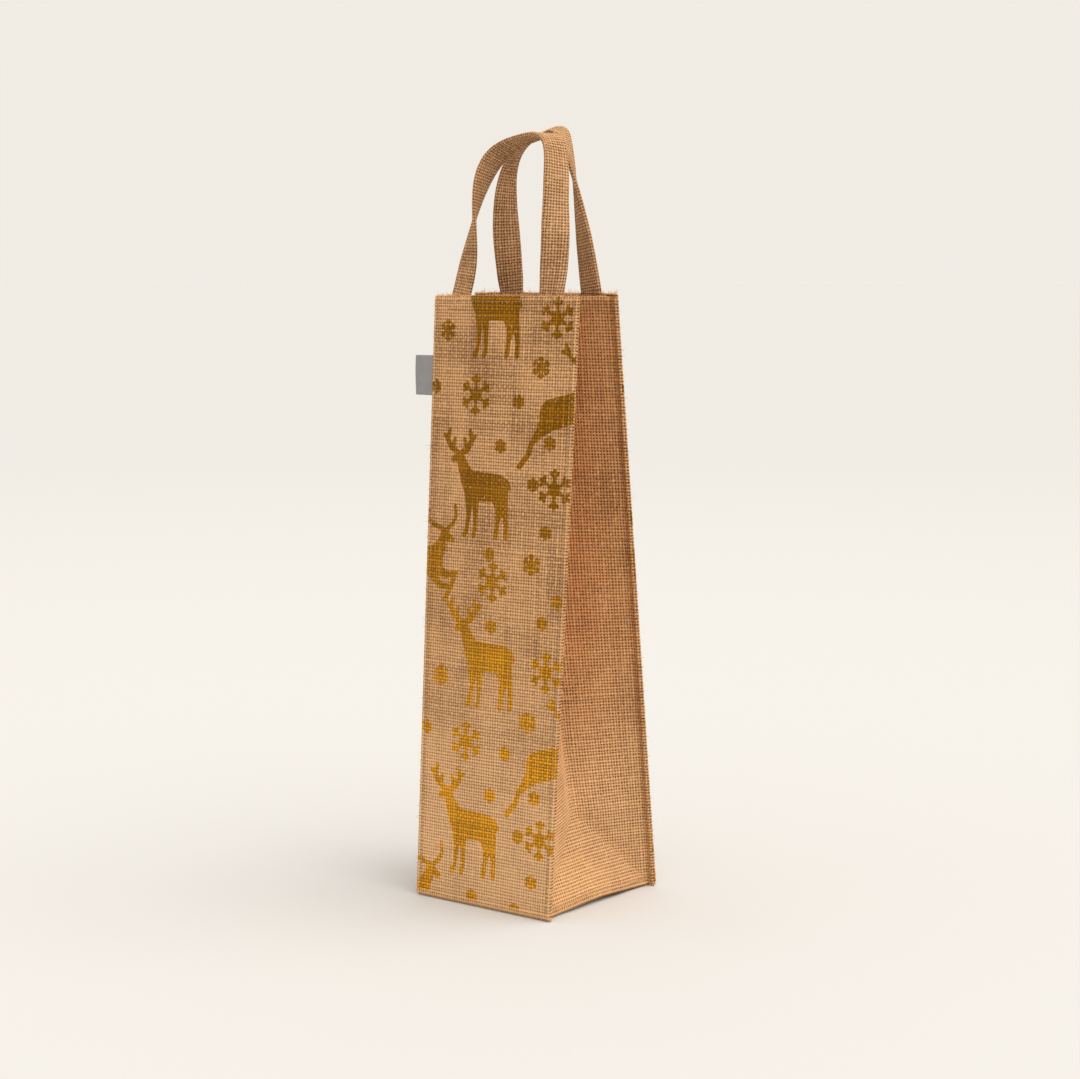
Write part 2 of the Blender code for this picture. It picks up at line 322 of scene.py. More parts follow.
def smooth(low, high, value):
    """0 below low, 1 above high, and a smooth step between them."""
    share = min(max((value - low) / (high - low), 0.0), 1.0)
    return share * share * (3 - 2 * share)


def ridge(distance, width, exp=math.exp):
    """1 on a line, and falling smoothly to nothing a few widths away. Arrays need exp=np.exp."""
    return exp(-((distance / width) ** 2))


def wall_half_width(share):
    """A wall's half width at a share of its height."""
    return mix(BASE_HALF_WIDTH, RIM_HALF_WIDTH, share)


def wall_share(wall, height):
    """A height as a share of the wall's."""
    return (height - WALL_FOOT) / (wall["rim_z"] - WALL_FOOT)


def wall_point(wall, x, height, inward=0.0):
    """A point on a wall's outer face, or that far inside it."""
    share = wall_share(wall, height)
    across = x / wall_half_width(share)
    bow = wall["bow"] * max(share, 0.0) ** 1.5 * (1.0 - across**2)
    out = mix(BASE_HALF_DEPTH, wall["rim_y"], share) + bow
    return Vector((x, wall["side"] * (out - inward), height))


def root_x(height):
    """Where the fins spring from the bag's corner."""
    return wall_half_width(wall_share(FRONT, height)) - FIN


def half_cloth():
    """Half of a gusset's width, from a wall to its crease."""
    return BASE_HALF_DEPTH - 1.5 * CLOTH - GAP


def seam_point(wall, height, outward):
    """A point of the gusset's line in the right fin, that far out from the fin's root."""
    return wall_point(wall, root_x(height) + outward, height, 1.5 * CLOTH + GAP)


def crease_point(height):
    """The right gusset's inward crease: its cloth can't stretch, so the walls' gap sets its depth."""
    front = seam_point(FRONT, height, 0.0)
    back = seam_point(BACK, height, 0.0)
    half_gap = min((back.y - front.y) / 2, half_cloth())
    depth = GUSSET_SLACK * math.sqrt(half_cloth() ** 2 - half_gap**2)
    return Vector((front.x - depth, (front.y + back.y) / 2, height))


def gusset_point(wall, along, height):
    """A point of the right gusset, that far along its cloth from a wall's seam towards the crease."""
    width = half_cloth()
    climb = height - WALL_FOOT
    if climb >= width:
        return seam_point(wall, height, 0.0).lerp(crease_point(height), along / width)
    apex = crease_point(WALL_FOOT + width)
    corner = seam_point(wall, WALL_FOOT, 0.0)
    fold = corner.lerp(apex, climb / width)
    if along <= climb:
        return seam_point(wall, height, 0.0).lerp(fold, along / max(climb, 1e-9))
    middle = Vector((corner.x, 0.0, WALL_FOOT)).lerp(apex, climb / width)
    return fold.lerp(middle, (along - climb) / (width - climb))


def foot_profile(distance):
    """The rolled bottom edge: how far in and how high the cloth is, that far along it from below."""
    turn = min(distance / FOOT_ROLL, math.pi / 2)
    height = SKIN / 2 + FOOT_ROLL * (1 - math.cos(turn)) + FLOOR_GAP
    inward = FOOT_ROLL * (1 - math.sin(turn))
    rest = max(distance - FOOT_ROLL * math.pi / 2, 0.0)
    bead = FOOT_BEAD[0] * ridge(rest - FOOT_BEAD_RISE, FOOT_BEAD[1])
    return inward + bead, height + rest


def hem_profile(distance, top):
    """The turned hem: how far in and how high the cloth is, that far past the start of its turn."""
    turn = min(distance / HEM_ROLL, math.pi)
    rest = max(distance - HEM_ROLL * math.pi, 0.0)
    return HEM_ROLL * (1 - math.cos(turn)), top + HEM_ROLL * math.sin(turn) - rest


def cloth_profile(distance, top):
    """A wall or gusset from its rolled foot, up to its turned hem and down inside."""
    straight_top = top - SKIN / 2 - HEM_ROLL
    length_to_top = straight_top - foot_profile(0.0)[1] - FOOT_ROLL + FOOT_ROLL * math.pi / 2
    if distance <= length_to_top:
        return foot_profile(distance)
    return hem_profile(distance - length_to_top, straight_top)


def profile_length(top):
    """The cloth's length from its rolled foot to the end of its turned hem."""
    straight = top - SKIN / 2 - HEM_ROLL - foot_profile(0.0)[1] - FOOT_ROLL
    return FOOT_ROLL * math.pi / 2 + straight + HEM_ROLL * math.pi + HEM_DEPTH


def hem_start(length, pitch):
    """The yarn at which a cloth of that length turns in at the rim."""
    return (length - HEM_DEPTH - HEM_ROLL * math.pi / 2) / pitch


def sag_wave(x, z, seed):
    """A soft wave of the cloth, from -1 to 1."""
    return noise.noise(Vector((x * 26, z * 11, seed)))


# ---------------------------------------------------------------- the print


def taper(x, z, start, end):
    """Signed distance from a rounded taper between two (across, up, radius) points."""
    run_x = end[0] - start[0]
    run_z = end[1] - start[1]
    share = ((x - start[0]) * run_x + (z - start[1]) * run_z) / (run_x**2 + run_z**2)
    share = np.clip(share, 0, 1)
    away = np.hypot(x - start[0] - share * run_x, z - start[1] - share * run_z)
    return away - mix(start[2], end[2], share)


def stag(x, z, chains):
    """Signed distance from a stag made of chains of tapers."""
    parts = [taper(x, z, a, b) for chain in chains for a, b in zip(chain, chain[1:])]
    return np.minimum.reduce(parts) - PRINT_SPREAD


def flake(x, z, size, bold):
    """Signed distance from a six-armed snowflake of that radius; bold thickens a small one."""
    turn = (np.arctan2(x, z) + math.pi / 6) % (math.pi / 3) - math.pi / 6
    out = np.hypot(x, z) / size
    along = out * np.cos(turn)
    aside = np.abs(out * np.sin(turn))
    heart = out - 0.30 - bold
    arm = taper(along, aside, (0.28, 0, 0.10 + bold), (0.46, 0, 0.06 + bold))
    petal = taper(along, aside, (0.68, 0, 0.15 + bold / 2), (0.90, 0, 0.07 + bold / 2))
    branch = taper(along, aside, (0.62, 0.04, 0.06 + bold / 2), (0.76, 0.21, 0.08 + bold / 2))
    return np.minimum.reduce([heart, arm, petal, branch]) * size


def print_distance(x, z):
    """Signed distance, in millimetres, from the nearest printed shape."""
    nearest = np.full(x.shape, NO_PRINT)
    for shape, places in ((STANDING_STAG, STANDING_PLACES), (LEAPING_STAG, LEAPING_PLACES)):
        for place_x, place_z in places:
            nearest = np.minimum(nearest, stag(x - place_x, z - place_z, shape))
    for size, bold, places in FLAKE_SIZES:
        for place_x, place_z in places:
            nearest = np.minimum(nearest, flake(x - place_x, z - place_z, size, bold))
    return nearest


# ---------------------------------------------------------------- mesh helpers


def finish_piece(name, bm, material):
    """Makes a bmesh an object with one finish, in the scene, at the origin."""
    mesh = bpy.data.meshes.new(name)
    bm.to_mesh(mesh)
    bm.free()
    mesh.shade_smooth()
    mesh.materials.append(material)
    piece = bpy.data.objects.new(name, mesh)
    bpy.context.scene.collection.objects.link(piece)
    return piece


def weave_grid(yarns, samples, place, relief):
    """A bmesh grid of cloth that counts its yarns in its UV map "weave" and its layer "yarn".

    place(a, b) puts the point at yarn a across and yarn b along. Crossings stand out by the relief.
    """
    columns = round(yarns[0] * samples[0])
    rows = round(yarns[1] * samples[1])
    bm = bmesh.new()
    bmesh.ops.create_grid(bm, x_segments=columns, y_segments=rows, size=0.5)
    counts = bm.verts.layers.float_vector.new("yarn")
    uv_layer = bm.loops.layers.uv.new("weave")
    for vert in bm.verts:
        a = (vert.co.x + 0.5) * yarns[0]
        b = (vert.co.y + 0.5) * yarns[1]
        vert[counts] = Vector((a, b, 0))
        vert.co = place(a, b)
    for face in bm.faces:
        for loop in face.loops:
            loop[uv_layer].uv = loop.vert[counts].xy
    bm.normal_update()
    shifts = {}
    for vert in bm.verts:
        a, b, _ = vert[counts]
        rise = math.sin(math.pi * a) ** 2 + math.sin(math.pi * b) ** 2 - 1
        slub = 1 + 0.5 * noise.noise(Vector((a * 0.7, b * 0.12, 3.0)))
        shifts[vert] = vert.normal * (relief * rise * slub)
    for vert, shift in shifts.items():
        vert.co += shift
    return bm


def wander_yarn(a, b, yarns, amount, seed):
    """A yarn count with its line strayed, which keeps the sheet's own edges."""
    inside_a = min(a, yarns[0] - a, 1.0)
    inside_b = min(b, yarns[1] - b, 1.0)
    stray_a = noise.noise(Vector((a * 0.9, b * 0.07, seed)))
    stray_b = noise.noise(Vector((a * 0.07, b * 0.9, seed + 9)))
    return a + amount * stray_a * inside_a, b + amount * stray_b * inside_b


def give_thickness(piece, thickness):
    """Gives an open sheet its thickness."""
    solid = piece.modifiers.new("cloth", "SOLIDIFY")
    solid.thickness = thickness
    solid.offset = 0.0
    solid.use_rim = True


def write_attribute(piece, name, values):
    """Stores one number per vertex for the finish to read."""
    attribute = piece.data.attributes.new(name, "FLOAT", "POINT")
    attribute.data.foreach_set("value", np.asarray(values, np.float32))


# ---------------------------------------------------------------- finishes


class Finish:
    """Builds a material's nodes in few words."""

    def __init__(self, name):
        self.material = bpy.data.materials.new(name)
        self.material.use_nodes = True
        self.tree = self.material.node_tree
        self.shader = self.tree.nodes["Principled BSDF"]

    def add(self, kind, inputs=(), **values):
        """A node with its properties and inputs set."""
        node = self.tree.nodes.new(kind)
        for key, value in values.items():
            setattr(node, key, value)
        for key, value in dict(inputs).items():
            self.feed(node.inputs[key], value)
        return node

    def feed(self, socket, value):
        """Links a socket to another, or sets its number."""
        if isinstance(value, bpy.types.NodeSocket):
            self.tree.links.new(value, socket)
        else:
            socket.default_value = value

    def math(self, operation, *inputs, clamp=False):
        """A Math node's result."""
        node = self.add("ShaderNodeMath", dict(enumerate(inputs)), operation=operation)
        node.use_clamp = clamp
        return node.outputs[0]

    def plus(self, first, second):
        """Two numbers added."""
        return self.math("ADD", first, second)

    def minus(self, first, second):
        """The second number taken from the first."""
        return self.math("SUBTRACT", first, second)

    def times(self, first, second):
        """Two numbers multiplied."""
        return self.math("MULTIPLY", first, second)

    def ramp(self, value, low, high, start=0.0, end=1.0):
        """A smooth step from start to end as the value goes from low to high."""
        node = self.add(
            "ShaderNodeMapRange",
            {"Value": value, "From Min": low, "From Max": high, "To Min": start, "To Max": end},
            interpolation_type="SMOOTHSTEP",
        )
        return node.outputs[0]

    def blend(self, share, low, high):
        """Two colours mixed by a share."""
        node = self.add("ShaderNodeMix", data_type="RGBA")
        self.feed(node.inputs[0], share)
        for socket, value in ((node.inputs[6], low), (node.inputs[7], high)):
            self.feed(socket, value if isinstance(value, bpy.types.NodeSocket) else (*value, 1.0))
        return node.outputs[2]

    def blend_number(self, share, low, high):
        """Two numbers mixed by a share."""
        node = self.add("ShaderNodeMix", data_type="FLOAT")
        for index, value in ((0, share), (2, low), (3, high)):
            self.feed(node.inputs[index], value)
        return node.outputs[0]

    def attribute(self, name):
        """A number stored on the mesh."""
        return self.add("ShaderNodeAttribute", attribute_name=name).outputs["Fac"]

    def noise(self, vector, scale, detail):
        """A noise texture's value."""
        node = self.add("ShaderNodeTexNoise", {"Scale": scale, "Detail": detail})
        self.feed(node.inputs["Vector"], vector)
        return node.outputs[0]

    def vector(self, *parts):
        """A vector from its parts."""
        return self.add("ShaderNodeCombineXYZ", dict(enumerate(parts))).outputs[0]

    def object_place(self):
        """The point's place on the object."""
        return self.add("ShaderNodeTexCoord").outputs["Object"]

    def bump(self, height, distance, strength):
        """Feeds the shader's normal with a bump."""
        node = self.add("ShaderNodeBump", {"Height": height, "Distance": distance})
        node.inputs["Strength"].default_value = strength
        self.tree.links.new(node.outputs[0], self.shader.inputs["Normal"])


def weave_pattern(finish, hole_span):
    """The plain weave over the yarn counts: its height, holes, each yarn's own shade and fibres."""
    uv = finish.add("ShaderNodeUVMap", uv_map="weave").outputs[0]
    parts = finish.add("ShaderNodeSeparateXYZ", {0: uv}).outputs
    u, v = parts[0], parts[1]
    row_u, row_v = finish.math("FLOOR", u), finish.math("FLOOR", v)
    over = finish.math("PINGPONG", finish.plus(row_u, row_v), 1.0)
    off_u = finish.math("ABSOLUTE", finish.minus(finish.math("FRACT", u), 0.5))
    off_v = finish.math("ABSOLUTE", finish.minus(finish.math("FRACT", v), 0.5))

    def yarn(off_side, off_end):
        """A yarn's round back, which dips where the next yarn crosses over it."""
        across = finish.math("POWER", finish.math("DIVIDE", off_side, YARN_WIDTH / 2), 2.0)
        back = finish.math("SUBTRACT", 1.0, across, clamp=True)
        dip = finish.times(finish.math("POWER", off_end, 2.0), 1.5)
        return back, finish.times(back, finish.minus(1.0, dip))

    warp_back, warp_top = yarn(off_u, off_v)
    weft_back, weft_top = yarn(off_v, off_u)
    warp_low = finish.times(warp_back, LOWER_YARN)
    weft_low = finish.times(weft_back, LOWER_YARN)
    height = finish.blend_number(
        over, finish.math("MAXIMUM", weft_top, warp_low), finish.math("MAXIMUM", warp_top, weft_low)
    )
    hole = finish.times(finish.ramp(off_u, *hole_span), finish.ramp(off_v, *hole_span))
    seed = finish.vector(
        finish.times(row_u, over),
        finish.times(row_v, finish.minus(1.0, over)),
        0.0,
    )
    shade = finish.add("ShaderNodeTexWhiteNoise", {"Vector": seed}, noise_dimensions="2D").outputs[0]
    warp_fibre = finish.vector(finish.plus(finish.times(u, 7.0), finish.times(v, 1.6)), v, 0.0)
    weft_fibre = finish.vector(u, finish.plus(finish.times(v, 7.0), finish.times(u, 1.6)), 9.0)
    along = finish.add("ShaderNodeMix", data_type="VECTOR")
    finish.feed(along.inputs[0], over)
    finish.feed(along.inputs[4], weft_fibre)
    finish.feed(along.inputs[5], warp_fibre)
    fibre = finish.noise(along.outputs[1], 1.6, 3.0)
    return height, hole, shade, fibre


def tint(colour, *shares):
    """A colour times one share, or times one for each channel, and never above 1."""
    return tuple(min(1.0, channel * share) for channel, share in zip(colour, cycle(shares)))


def make_jute(name, light, dark, hole_span, gold=None):
    """Woven jute, with a foil print on top where gold is given.

    hole_span is how far from a yarn's middle, in yarns, a gap in the weave starts and is deepest.
    """
    finish = Finish(name)
    height, hole, shade, fibre = weave_pattern(finish, hole_span)
    place = finish.object_place()
    cloud = finish.noise(place, 38.0, 3.0)
    fleck = finish.noise(place, 420.0, 2.0)
    tone = finish.times(shade, 0.16)
    tone = finish.plus(tone, finish.times(fibre, 0.6))
    tone = finish.plus(tone, finish.times(cloud, 0.45))
    # Painted shade: the higher crossings are lighter and the hollows between them darker.
    tone = finish.plus(tone, finish.times(height, 0.22))
    colour = finish.blend(finish.ramp(tone, 0.54, 0.90), dark, light)
    # Paler towards the bottom: painted light, bounced up from the floor.
    up = finish.add("ShaderNodeSeparateXYZ", {0: place}).outputs[2]
    bounce_lit = tint(light, 1.22, 1.34, 1.5)
    colour = finish.blend(finish.ramp(up, 0.02, 0.19, 0.6, 0.0), colour, bounce_lit)
    # Painted shade in the gusset's groove, reddened as if by light bounced between the cloths.
    painted_groove_shade = finish.attribute("painted_groove_shade")
    groove_shade_colour = tint(light, 0.98, 0.74, 0.58)
    colour = finish.blend(finish.times(painted_groove_shade, 0.6), colour, groove_shade_colour)
    straw = tint(light, 1.35)
    colour = finish.blend(finish.ramp(fleck, 0.56, 0.70, 0.0, 0.35), colour, straw)
    # Paler along the folds: partly worn fibres, partly a painted highlight.
    edge = finish.attribute("edge")
    colour = finish.blend(finish.times(edge, 0.4), colour, straw)
    # Painted shade in the gaps between the yarns, in the dark colour hollow, deeper in some gaps than
    # others.
    hole_shade = finish.times(hole, finish.ramp(fleck, 0.38, 0.62, 1.0, 0.45))
    hole_shade = finish.times(hole_shade, finish.ramp(cloud, 0.30, 0.62, 1.0, 0.8))
    hollow = tint(dark, 0.34, 0.20, 0.12)
    colour = finish.blend(hole_shade, colour, hollow)
    relief = finish.plus(height, finish.times(fibre, 0.45))
    relief = finish.minus(relief, finish.times(hole, 0.6))
    shader = finish.shader
    if gold:
        distance = finish.attribute("print")
        ragged = finish.plus(distance, finish.times(fibre, 0.9))
        foil = finish.ramp(ragged, 0.25, 0.75, 1.0, 0.0)
        foil = finish.times(foil, finish.ramp(hole, 0.4, 1.0, 1.0, 0.45))
        foil = finish.times(foil, finish.ramp(fleck, 0.26, 0.38, 0.3, 1.0))
        # Painted reflection: the foil is brighter low on the wall and darker higher up; its roughness
        # follows the same mask.
        patchy = finish.times(finish.minus(cloud, 0.5), 0.12)
        lower_gold_highlight = finish.ramp(finish.plus(up, patchy), 0.09, 0.27, 1.0, 0.0)
        # Painted highlight: the foil is brighter along the yarns' crowns, varied at random along the
        # fibres and per yarn.
        streak = finish.plus(finish.times(height, 0.5), finish.times(shade, 0.35))
        streak = finish.ramp(finish.plus(fibre, streak), 0.80, 1.20)
        dull = tint(gold, 0.50, 0.46, 0.36)
        bright = finish.blend(streak, tint(gold, 0.5), gold)
        shaded_gold = finish.blend(streak, tint(dull, 0.45), dull)
        colour = finish.blend(foil, colour, finish.blend(lower_gold_highlight, shaded_gold, bright))
        finish.feed(shader.inputs["Metallic"], finish.times(foil, 0.92))
        sheen = finish.blend_number(lower_gold_highlight, 0.52, 0.34)
        finish.feed(shader.inputs["Roughness"], finish.blend_number(foil, 0.92, sheen))
    else:
        shader.inputs["Roughness"].default_value = 0.92
    finish.feed(shader.inputs["Base Color"], colour)
    shader.inputs["Specular IOR Level"].default_value = 0.25
    finish.bump(relief, 0.0007, 1.0)
    return finish.material


def make_thread(name, colour):
    """Twisted sewing thread."""
    finish = Finish(name)
    place = finish.object_place()
    twist = finish.noise(place, 1800.0, 2.0)
    dark = tint(colour, 0.5)
    finish.feed(finish.shader.inputs["Base Color"], finish.blend(twist, dark, colour))
    finish.shader.inputs["Roughness"].default_value = 0.85
    finish.bump(twist, 0.0002, 0.6)
    return finish.material


def make_satin(name, colour):
    """Satin ribbon: fine ribs along its length, with a soft sheen."""
    finish = Finish(name)
    place = finish.object_place()
    up = finish.add("ShaderNodeSeparateXYZ", {0: place}).outputs[2]
    rib = finish.math("SINE", finish.times(up, 9000.0))
    cloud = finish.noise(place, 160.0, 3.0)
    dark = tint(colour, 0.72)
    finish.feed(finish.shader.inputs["Base Color"], finish.blend(cloud, dark, colour))
    finish.shader.inputs["Roughness"].default_value = 0.38
    finish.shader.inputs["Sheen Weight"].default_value = 0.3
    finish.shader.inputs["Anisotropic"].default_value = 0.4
    finish.bump(rib, 0.00003, 0.5)
    return finish.material


def finish_named(name):
    """A finish that an earlier operator made."""
    material = bpy.data.materials.get(name)
    if material is None:
        raise RuntimeError(f"the finish {name} isn't made yet: run Finishes first")
    return material


# ---------------------------------------------------------------- pieces


def cut_hem_corners(bm, turn_in, pitch, width=math.inf):
    """Cuts away the turned hem where it would lie inside a fin. width is a wall's, in yarns."""
    counts = bm.verts.layers.float_vector["yarn"]
    fin_yarns = 2 * FIN / pitch
    extra = [
        vert
        for vert in bm.verts
        if vert[counts].y > turn_in + 0.4 and min(vert[counts].x, width - vert[counts].x) < fin_yarns
    ]
    bmesh.ops.delete(bm, geom=extra, context="VERTS")


def worn_and_highlit_edges(from_edge, from_rim, height, crease):
    """How far each point is part of a folded edge, painted paler, from 0 to 1: partly worn fuzzy
    fibres, partly a painted highlight on the folds and the gussets' creases.
    """
    fold = ridge(from_edge, EDGE_WIDTH, np.exp) + ridge(from_rim, RIM_WIDTH, np.exp) + crease
    return np.clip(fold + 0.5 * ridge(height, FOOT_WIDTH, np.exp), 0, 1)


def make_wall(wall, settings):
    """One printed wall: rolled at its foot, turned in at its rim, with a folded edge in each fin."""
    pitch = settings.pitch
    side = wall["side"]
    length = profile_length(wall["rim_z"])
    yarns = (round(2 * RIM_HALF_WIDTH / pitch), round(length / pitch))

    def spot(a, b):
        """Across the wall, inward and up, with the stitched groove and corded edge of each fin."""
        inward, height = cloth_profile(b / yarns[1] * length, wall["rim_z"])
        half = wall_half_width(wall_share(wall, height)) - SKIN / 2
        x = -side * mix(-half, half, a / yarns[0])
        from_edge = half - abs(x)
        groove = SEAM_GROOVE[0] * ridge(from_edge - SEAM_INSET, SEAM_GROOVE[1])
        twist = 0.5 + 0.5 * math.sin(2 * math.pi * height / CORD_TWIST)
        cord = EDGE_CORD[0] * ridge(from_edge, EDGE_CORD[1]) * twist
        slack = smooth(0.004, 0.028, from_edge) * smooth(0.006, 0.06, height)
        wave = settings.sag * slack * sag_wave(x, height, 5.0 + side)
        inward += SKIN / 2 + groove - cord + wave
        return x, height, inward

    def place(a, b):
        """The point of the wall at those yarns."""
        a, b = wander_yarn(a, b, yarns, settings.wander, 20.0 + side)
        x, height, inward = spot(a, b)
        return wall_point(wall, x, height, inward)

    bm = weave_grid(yarns, CLOTH_SAMPLES, place, settings.relief)
    turn_in = hem_start(length, pitch)
    cut_hem_corners(bm, turn_in, pitch, yarns[0])
    counts = bm.verts.layers.float_vector["yarn"]
    along = np.array([vert[counts].y for vert in bm.verts])
    piece = finish_piece(f"{wall['name']}_wall_cloth", bm, finish_named("printed_weave"))
    half = np.array([wall_half_width(wall_share(wall, v.co.z)) for v in piece.data.vertices])
    x = np.array([v.co.x for v in piece.data.vertices])
    z = np.array([v.co.z for v in piece.data.vertices])
    distance = print_distance(-side * x * 1000, z * 1000)
    outside = (along < turn_in) & (z > PRINT_FOOT)
    write_attribute(piece, "print", np.where(outside, np.clip(distance, -6, NO_PRINT), NO_PRINT))
    write_attribute(piece, "edge", worn_and_highlit_edges(half - np.abs(x), wall["rim_z"] - z, z, 0.0))
    give_thickness(piece, SKIN)
    piece.data.attributes.remove(piece.data.attributes["yarn"])
    return piece


def gusset_place(wall, side, settings, yarns, length):
    """Returns place(a, b) for half of a gusset: a flange in the fin, then its cloth to the crease."""
    other = BACK if wall is FRONT else FRONT
    width = half_cloth()
    full = FIN + width

    def run(owner, along, height):
        """The half's own line at a height, from the fin's edge to the crease."""
        if along < FIN:
            return seam_point(owner, height, FIN - FLANGE_SHORT - along * (1 - FLANGE_SHORT / FIN))
        return gusset_point(owner, along - FIN, height)

    def rounded(along, height):
        """The same line with its crease and its corner at the fin rounded."""
        for corner, roll in ((FIN, FIN_ROLL), (full, CREASE_ROLL)):
            if abs(along - corner) <= roll:
                share = (along - corner + roll) / (2 * roll)
                before = run(wall, corner - roll, height)
                middle = run(wall, corner, height)
                beyond = run(wall, corner + roll, height) if corner < full else None
                after = beyond or run(other, full - roll, height)
                return before.lerp(middle, share).lerp(middle.lerp(after, share), share)
        return run(wall, along, height)

    def place(a, b):
        """The point of the gusset's half at those yarns."""
        a, b = wander_yarn(a, b, yarns, settings.wander, 40.0 + wall["side"] + 3 * side)
        inward, height = cloth_profile(b / yarns[1] * length, FRONT["rim_z"] - GUSSET_SHORT)
        level = max(height, WALL_FOOT)
        along = a / yarns[0] * (full + CREASE_LAP)
        point = rounded(along, level)
        step = 0.0004
        tangent = rounded(along + step, level) - rounded(max(along - step, 0.0), level)
        outward = Vector((-wall["side"] * tangent.y, wall["side"] * tangent.x, 0))
        if outward.length > 1e-9:
            outward.normalize()
        slack = smooth(FIN, FIN + 0.02, along) * smooth(full, full - 0.014, along)
        wave = 1.6 * settings.sag * slack * sag_wave(along * 1.3, height, 11.0 + side)
        into_bag = -outward if height > WALL_FOOT + width else Vector((-1, 0, 0))
        point = point + into_bag * inward + outward * wave
        point.z = height + foot_arch(point.y) * math.exp(-height / ARCH_FADE)
        point.x *= side
        return point

    return place


def foot_arch(y):
    """How far the bottom edge of a side stands off the ground, between the bag's corners."""
    return FOOT_ARCH * math.cos(math.pi / 2 * min(abs(y) / BASE_HALF_DEPTH, 1.0)) ** 2


def make_gusset_half(wall, side, word, settings):
    """Half of a side gusset, from a wall's fin to the crease."""
    pitch = settings.pitch
    length = profile_length(FRONT["rim_z"] - GUSSET_SHORT)
    yarns = (round((FIN + half_cloth() + CREASE_LAP) / pitch), round(length / pitch))
    place = gusset_place(wall, side, settings, yarns, length)
    bm = weave_grid(yarns, CLOTH_SAMPLES, place, settings.relief)
    cut_hem_corners(bm, hem_start(length, pitch), pitch)
    counts = bm.verts.layers.float_vector["yarn"]
    along = {v: (v[counts].x * pitch - FIN, v.co.z - WALL_FOOT) for v in bm.verts}
    diagonal = [
        v
        for v, (a, h) in along.items()
        if abs(a - h) < 0.004 and 0.006 < h < half_cloth() and not v.is_boundary
    ]
    for _ in range(2):
        bmesh.ops.smooth_vert(
            bm, verts=diagonal, factor=0.5, use_axis_x=True, use_axis_y=True, use_axis_z=True
        )
    piece = finish_piece(f"{word}_gusset_{wall['name']}_half", bm, finish_named("plain_weave"))
    z = np.array([v.co.z for v in piece.data.vertices])
    counts = np.empty(len(z) * 3, np.float32)
    piece.data.attributes["yarn"].data.foreach_get("vector", counts)
    out_of_fin = counts.reshape(-1, 3)[:, 0] * pitch
    # Painted highlight along the gusset's diagonal fold.
    crease = 0.8 * ridge(out_of_fin - z + WALL_FOOT, RIM_WIDTH, np.exp)
    crease = crease * (out_of_fin > 0.004) * (out_of_fin < half_cloth() - 0.002)
    write_attribute(piece, "edge", worn_and_highlit_edges(out_of_fin, FRONT["rim_z"] - z, z, crease))
    # Painted shade in the gusset's groove: stronger away from the fin and higher up, none near the
    # foot.
    depth = 0.35 + 0.65 * np.clip((out_of_fin - 0.010) / 0.030, 0, 1)
    write_attribute(piece, "painted_groove_shade", depth * np.clip((z - 0.06) / 0.12, 0, 1))
    piece.data.attributes.remove(piece.data.attributes["yarn"])
    give_thickness(piece, SKIN)
    return piece


def make_base_cloth(settings):
    """The base, which lies between the rolled feet of the walls and gussets."""
    half_x = root_x(WALL_FOOT) - FOOT_ROLL / 2
    half_y = BASE_HALF_DEPTH - FOOT_ROLL - BASE_SHORT
    yarns = (round(2 * half_x / settings.pitch), round(2 * half_y / settings.pitch))

    def place(a, b):
        """The point of the base at those yarns, a little raised along its edges."""
        a, b = wander_yarn(a, b, yarns, settings.wander, 60.0)
        x = mix(-half_x, half_x, a / yarns[0])
        y = mix(-half_y, half_y, b / yarns[1])
        from_edge = min(half_x - abs(x), half_y - abs(y))
        rise = 0.0010 * ridge(from_edge, 0.0016)
        hollow = 0.0004 * smooth(0.0, 0.03, from_edge)
        arch = foot_arch(y) * math.exp(-(half_x - abs(x)) / 0.012)
        return Vector((x, y, SKIN / 2 + settings.relief + 0.0002 + rise + hollow + arch))

    bm = weave_grid(yarns, CLOTH_SAMPLES, place, settings.relief)
    piece = finish_piece("base_cloth", bm, finish_named("plain_weave"))
    piece.data.attributes.remove(piece.data.attributes["yarn"])
    write_attribute(piece, "edge", np.zeros(len(piece.data.vertices)))
    give_thickness(piece, SKIN)
    return piece


def spline_weights(count, share):
    """The weights of the control points at share of a clamped cubic B-spline."""
    degree = 3
    spans = count - degree
    knots = [0.0] * degree + [i / spans for i in range(spans + 1)] + [1.0] * degree
    at = min(max(share, 0.0), 1.0 - 1e-9)

    def basis(i, k):
        if k == 0:
            return 1.0 if knots[i] <= at < knots[i + 1] else 0.0
        total = 0.0
        if knots[i + k] > knots[i]:
            total += (at - knots[i]) / (knots[i + k] - knots[i]) * basis(i, k - 1)
        if knots[i + k + 1] > knots[i + 1]:
            rest = knots[i + k + 1] - at
            total += rest / (knots[i + k + 1] - knots[i + 1]) * basis(i + 1, k - 1)
        return total

    weights = {i: basis(i, degree) for i in range(count)}
    return {i: w for i, w in weights.items() if w > 0}


def strap_line(wall):
    """Points of a strap's middle, with the angle of its width, from one sewn end to the other."""
    rim = wall["rim_z"]
    depth = 2 * CLOTH + GAP + STRAP_THICKNESS / 2
    left, right = wall["legs"]
    ends = [wall_point(wall, x, rim, depth) + Vector((0, 0, LEG_START)) for x in (left, right)]
    controls = [ends[0]] + [Vector((x, y, rim + z)) for (x, y, z), _ in wall["arch"]] + [ends[1]]
    angles = [wall["turns"][0]] + [angle for _, angle in wall["arch"]] + [wall["turns"][1]]
    points = []
    for step in range(SEWN_STEPS):
        share = step / SEWN_STEPS
        spot = wall_point(wall, left, rim - STRAP_END * (1 - share), depth)
        points.append((spot, angles[0] * share))
    for step in range(ARCH_STEPS + 1):
        weights = spline_weights(len(controls), step / ARCH_STEPS)
        spot = sum((controls[i] * w for i, w in weights.items()), Vector())
        points.append((spot, sum(angles[i] * w for i, w in weights.items())))
    for step in range(1, SEWN_STEPS + 1):
        share = step / SEWN_STEPS
        spot = wall_point(wall, right, rim - STRAP_END * share, depth)
        points.append((spot, mix(angles[-1], 180, share)))
    return points


